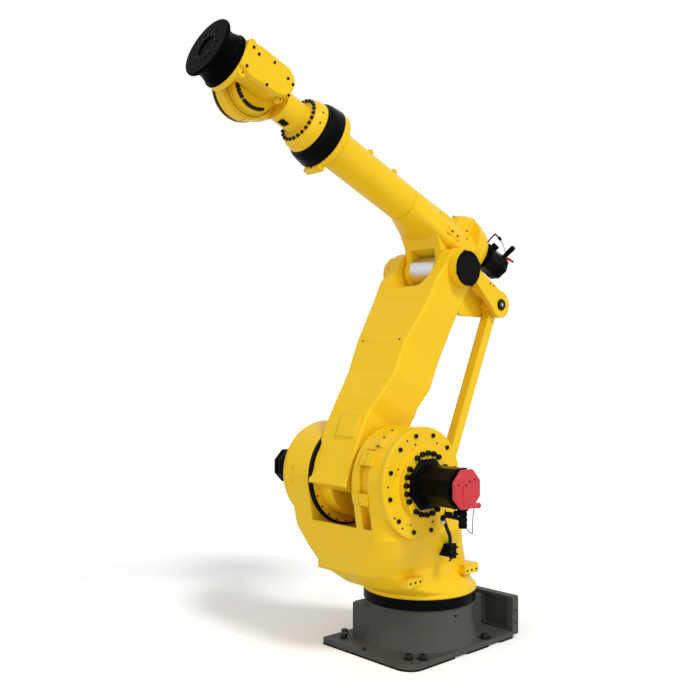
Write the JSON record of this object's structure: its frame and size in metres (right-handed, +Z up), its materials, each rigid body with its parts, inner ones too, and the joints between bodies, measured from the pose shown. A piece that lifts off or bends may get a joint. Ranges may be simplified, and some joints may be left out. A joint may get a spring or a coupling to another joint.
{
  "type": "industrial robot arm",
  "caption": "Six-axis industrial robot arm on a bolted base, with a parallel link that drives the forearm and a round tool flange.",
  "frame": {"origin": "on the floor under the turning axis of the column, in the plane of the base plate's underside", "axes": "+X forward, the way the arm reaches, +Y to the left, +Z up along the turning axis"},
  "size_m": [2.4799, 1.636, 3.7373],
  "materials": {
    "yellow_paint": "satin",
    "charcoal_paint": "satin",
    "black_paint": "gloss",
    "red_cap": "satin",
    "bright_steel": "satin",
    "dark_steel": "satin",
    "cable_rubber": "matte"
  },
  "bodies": {
    "base": {"base_casting": "charcoal_paint", "rear_panel": "charcoal_paint", "seal_ring": "black_paint"},
    "turret": {"turret_casting": "yellow_paint", "near_reducer": "yellow_paint", "far_reducer": "yellow_paint", "near_motor": "black_paint", "near_motor_cap": "red_cap", "near_motor_plug": "black_paint", "far_motor": "black_paint", "far_motor_cap": "black_paint", "upper_stop_block": "yellow_paint", "lower_stop_block": "yellow_paint", "lead_clamp": "black_paint", "motor_lead": "cable_rubber"},
    "lower_arm": {"lower_arm_casting": "yellow_paint", "near_elbow_housing": "yellow_paint", "far_elbow_housing": "yellow_paint", "near_elbow_cover": "black_paint", "far_elbow_cover": "black_paint"},
    "crank": {"link_crank": "yellow_paint", "crank_pin": "dark_steel"},
    "rod": {"link_rod": "yellow_paint"},
    "forearm": {"forearm_root": "yellow_paint", "elbow_shaft": "bright_steel", "elbow_sleeve": "bright_steel", "lever_pin": "dark_steel", "forearm_tube": "yellow_paint", "roll_reducer": "black_paint", "gear_housing": "yellow_paint", "near_wrist_motor": "black_paint", "far_wrist_motor": "black_paint", "top_wrist_motor": "black_paint"},
    "wrist_roll": {"wrist_neck": "yellow_paint", "far_wrist_cover": "yellow_paint"},
    "wrist_pitch": {"wrist_head": "yellow_paint", "head_cover": "yellow_paint"},
    "tool": {"tool_flange": "black_paint"}
  },
  "joints": [
    {"name": "j1_turn", "type": "hinge", "parent": "base", "child": "turret", "pos_m": [0, 0, 0.3], "axis": [0, 0, 1], "range_deg": [-180, 180]},
    {"name": "j2_lower_arm", "type": "hinge", "parent": "turret", "child": "lower_arm", "pos_m": [0.48, 0, 1.145], "axis": [0, 1, 0], "range_deg": [-30, 95]},
    {"name": "j3_forearm", "type": "hinge", "parent": "lower_arm", "child": "forearm", "pos_m": [-0.11616, 0, 2.47774], "axis": [0, 1, 0], "range_deg": [-30, 50]},
    {"name": "crank_swing", "type": "hinge", "parent": "lower_arm", "child": "crank", "pos_m": [0.48, 0, 1.145], "axis": [0, 1, 0], "range_deg": [-30, 50]},
    {"name": "rod_swing", "type": "hinge", "parent": "crank", "child": "rod", "pos_m": [0.00259, 0, 0.93144], "axis": [0, 1, 0], "range_deg": [-50, 30]},
    {"name": "j4_roll", "type": "hinge", "parent": "forearm", "child": "wrist_roll", "pos_m": [0.97689, 0, 3.26423], "axis": [0.9184, 0, 0.3955], "range_deg": [-360, 360]},
    {"name": "j5_pitch", "type": "hinge", "parent": "wrist_roll", "child": "wrist_pitch", "pos_m": [1.37182, 0, 3.43431], "axis": [0, 1, 0], "range_deg": [-115, 115]},
    {"name": "j6_tool", "type": "hinge", "parent": "wrist_pitch", "child": "tool", "pos_m": [1.7043, 0, 3.5775], "axis": [0.9184, 0, 0.3955], "range_deg": [-360, 360]}
  ],
  "couplings": [
    {"joint": "crank_swing", "follows": "j3_forearm", "ratio": 1},
    {"joint": "rod_swing", "follows": "j3_forearm", "ratio": -1}
  ]
}
